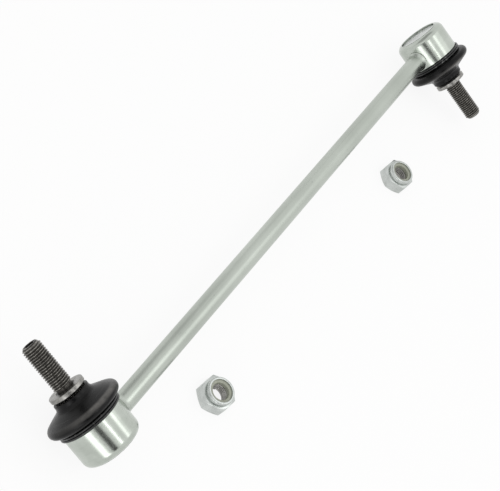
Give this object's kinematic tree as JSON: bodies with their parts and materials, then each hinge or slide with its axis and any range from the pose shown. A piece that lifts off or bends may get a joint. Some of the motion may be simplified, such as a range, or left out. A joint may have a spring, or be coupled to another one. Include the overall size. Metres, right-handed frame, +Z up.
{
  "type": "stabilizer link",
  "caption": "Straight steel link bar with a ball joint, rubber boot and threaded stud at each end, pointing opposite ways, with loose lock nuts; ties a stabilizer bar to a wheel strut.",
  "frame": {"origin": "on the table, under the middle of the link as it lies at rest", "axes": "+X along the bar from the near joint to the far joint, +Z up from the table; the near stud points along +Y and the far stud along -Y, both a little off level"},
  "size_m": [0.3946, 0.1018, 0.0389],
  "materials": {
    "zinc_steel": "satin zinc plate",
    "black_steel": "black phosphate",
    "black_wire": "black spring wire",
    "boot_rubber": "matte",
    "acetal": "smooth",
    "nylon": "smooth"
  },
  "bodies": {
    "link": {"rod": "zinc_steel", "weld_near": "zinc_steel", "weld_far": "zinc_steel", "housing_near": "zinc_steel", "housing_far": "zinc_steel", "closing_plate_near": "zinc_steel", "closing_plate_far": "zinc_steel", "ball_seat_near": "acetal", "ball_seat_far": "acetal", "boot_clip_near": "black_wire", "boot_clip_far": "black_wire"},
    "near_boot": {"boot_near": "boot_rubber"},
    "near_neck_ring": {"boot_neck_ring_near": "acetal"},
    "near_stud": {"ball_stud_near": "black_steel"},
    "far_boot": {"boot_far": "boot_rubber"},
    "far_neck_ring": {"boot_neck_ring_far": "acetal"},
    "far_stud": {"ball_stud_far": "black_steel"},
    "near_nut": {"lock_nut_near": "zinc_steel", "nut_insert_near": "nylon"},
    "far_nut": {"lock_nut_far": "zinc_steel", "nut_insert_far": "nylon"}
  },
  "joints": [
    {"name": "near_tilt", "type": "hinge", "parent": "link", "child": "near_boot", "pos_m": [-0.17748, 0, 0.01696], "axis": [0.9999, 0, 0.014], "range_deg": [-18, 18], "deforming": ["boot_near"]},
    {"name": "near_swing", "type": "hinge", "parent": "near_boot", "child": "near_neck_ring", "pos_m": [-0.17748, 0, 0.01696], "axis": [-0.0137, -0.2008, 0.9795], "range_deg": [-18, 18], "deforming": ["boot_near"]},
    {"name": "near_spin", "type": "hinge", "parent": "near_neck_ring", "child": "near_stud", "pos_m": [-0.17748, 0, 0.01696], "axis": [-0.0028, 0.9796, 0.2007], "continuous": true},
    {"name": "far_tilt", "type": "hinge", "parent": "link", "child": "far_boot", "pos_m": [0.17748, 0, 0.02194], "axis": [-0.9999, 0, -0.014], "range_deg": [-18, 18], "deforming": ["boot_far"]},
    {"name": "far_swing", "type": "hinge", "parent": "far_boot", "child": "far_neck_ring", "pos_m": [0.17748, 0, 0.02194], "axis": [-0.0137, -0.2008, 0.9795], "range_deg": [-18, 18], "deforming": ["boot_far"]},
    {"name": "far_spin", "type": "hinge", "parent": "far_neck_ring", "child": "far_stud", "pos_m": [0.17748, 0, 0.02194], "axis": [0.0028, -0.9796, -0.2007], "continuous": true},
    {"name": "near_nut_lift", "type": "slide", "parent": "link", "child": "near_nut", "axis": [0, 0, 1], "range_m": [0, 0.05]},
    {"name": "far_nut_lift", "type": "slide", "parent": "link", "child": "far_nut", "axis": [0, 0, 1], "range_m": [0, 0.05]}
  ]
}
